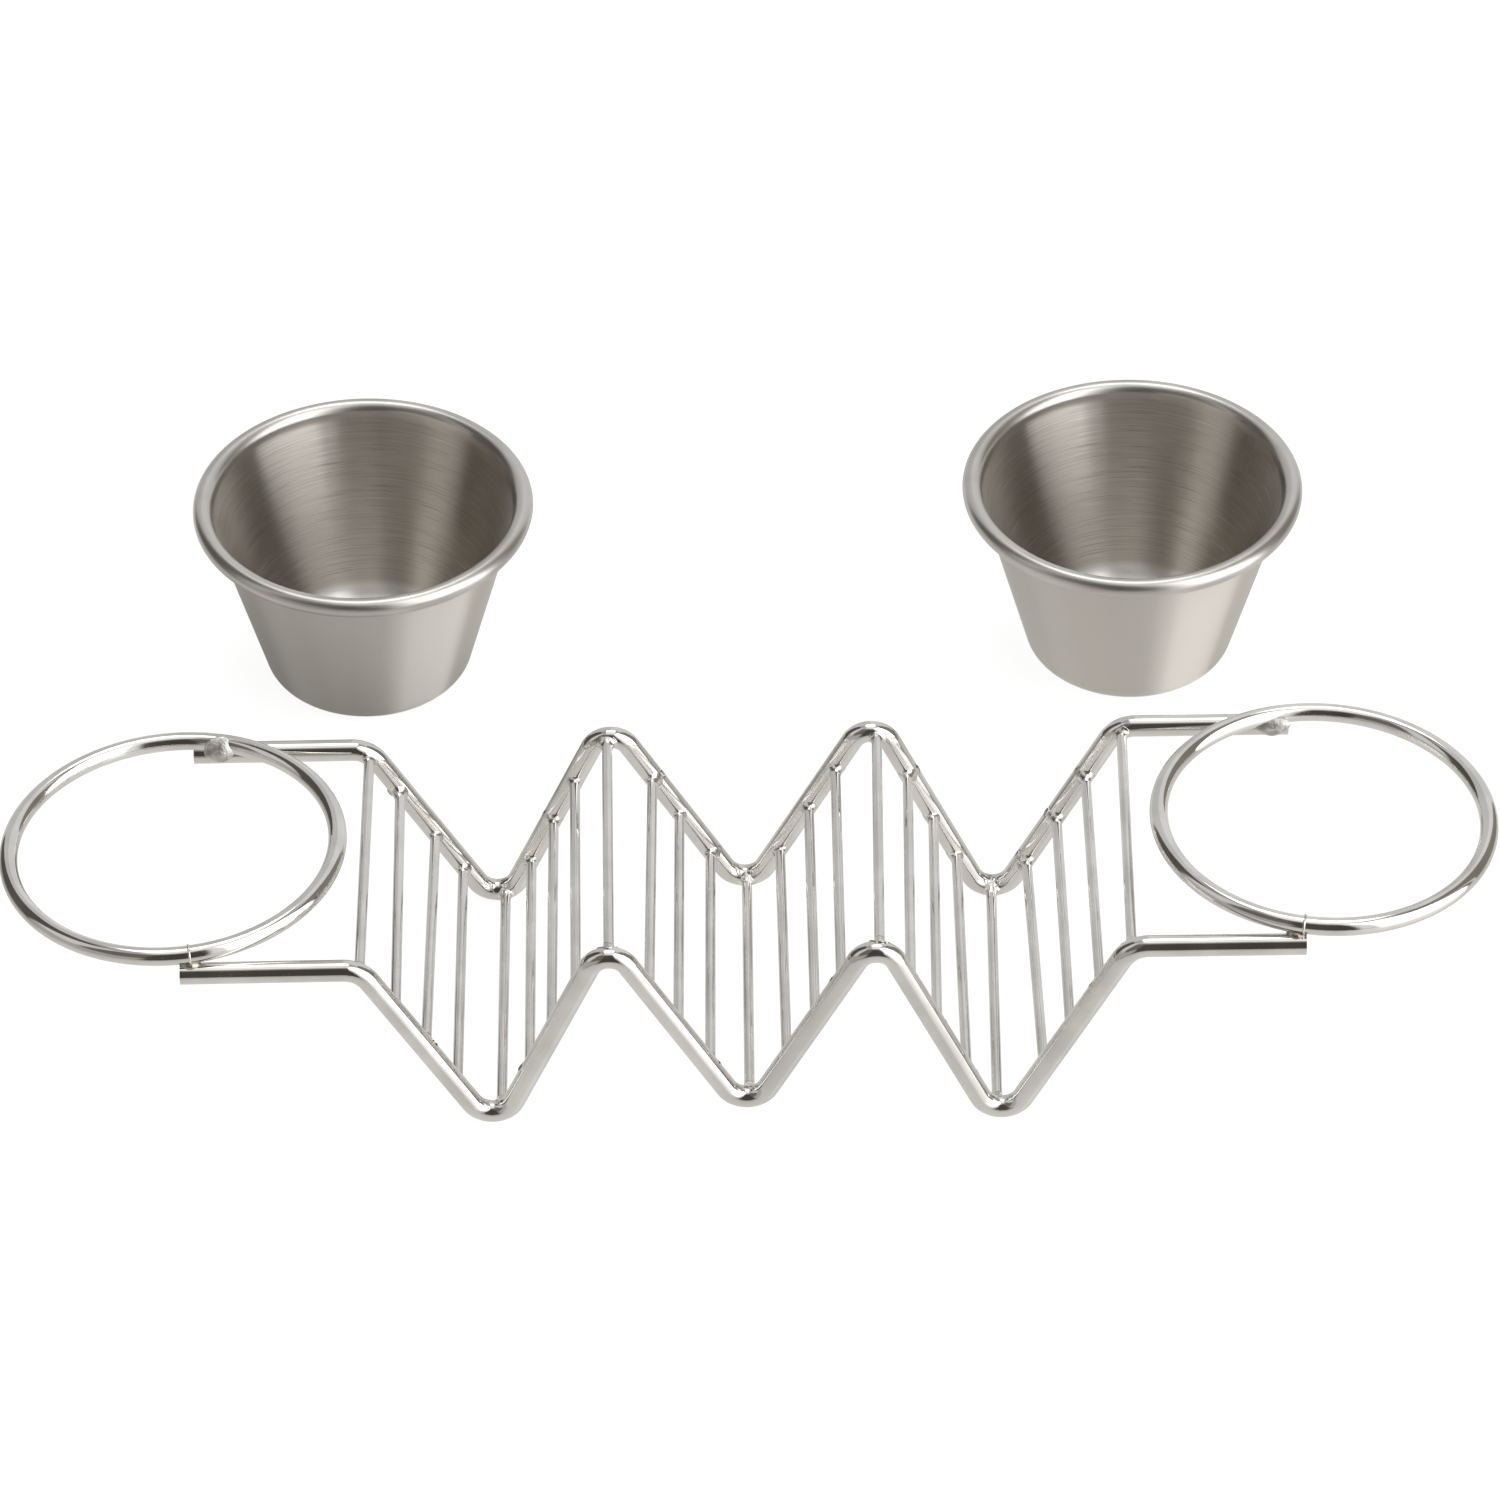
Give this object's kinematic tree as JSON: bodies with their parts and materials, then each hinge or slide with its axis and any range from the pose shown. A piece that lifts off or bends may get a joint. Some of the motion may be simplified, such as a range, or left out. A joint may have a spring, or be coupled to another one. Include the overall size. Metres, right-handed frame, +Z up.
{
  "type": "taco holder",
  "caption": "Wire taco holder: a zigzag rack of bent steel wire with troughs for folded tacos and a ring at each end for the steel sauce cups that stand behind it.",
  "frame": {"origin": "on the table, at the middle of the footprint of the rack and both cups together", "axes": "+X along the rack from its left ring to its right ring, -Y towards the rack's front rail, +Z up"},
  "size_m": [0.3014, 0.1882, 0.0515],
  "materials": {
    "polished_wire": "polished stainless wire",
    "weld": "dull weld bead",
    "brushed_cup": "spun and brushed, fine lines round the cup"
  },
  "bodies": {
    "root": {"front_rail": "polished_wire", "rear_rail": "polished_wire", "left_ring": "polished_wire", "right_ring": "polished_wire", "cross_bar_01": "polished_wire", "cross_bar_02": "polished_wire", "cross_bar_03": "polished_wire", "cross_bar_04": "polished_wire", "cross_bar_05": "polished_wire", "cross_bar_06": "polished_wire", "cross_bar_07": "polished_wire", "cross_bar_08": "polished_wire", "cross_bar_09": "polished_wire", "cross_bar_10": "polished_wire", "cross_bar_11": "polished_wire", "cross_bar_12": "polished_wire", "cross_bar_13": "polished_wire", "cross_bar_14": "polished_wire", "cross_bar_15": "polished_wire", "cross_bar_16": "polished_wire", "cross_bar_17": "polished_wire", "cross_bar_18": "polished_wire", "cross_bar_19": "polished_wire", "cross_bar_20": "polished_wire", "cross_bar_21": "polished_wire", "cross_bar_22": "polished_wire", "cross_bar_23": "polished_wire", "cross_bar_24": "polished_wire", "cross_bar_25": "polished_wire", "left_front_weld": "weld", "left_rear_weld": "weld", "right_front_weld": "weld", "right_rear_weld": "weld", "left_cup": "brushed_cup", "right_cup": "brushed_cup"}
  },
  "joints": []
}
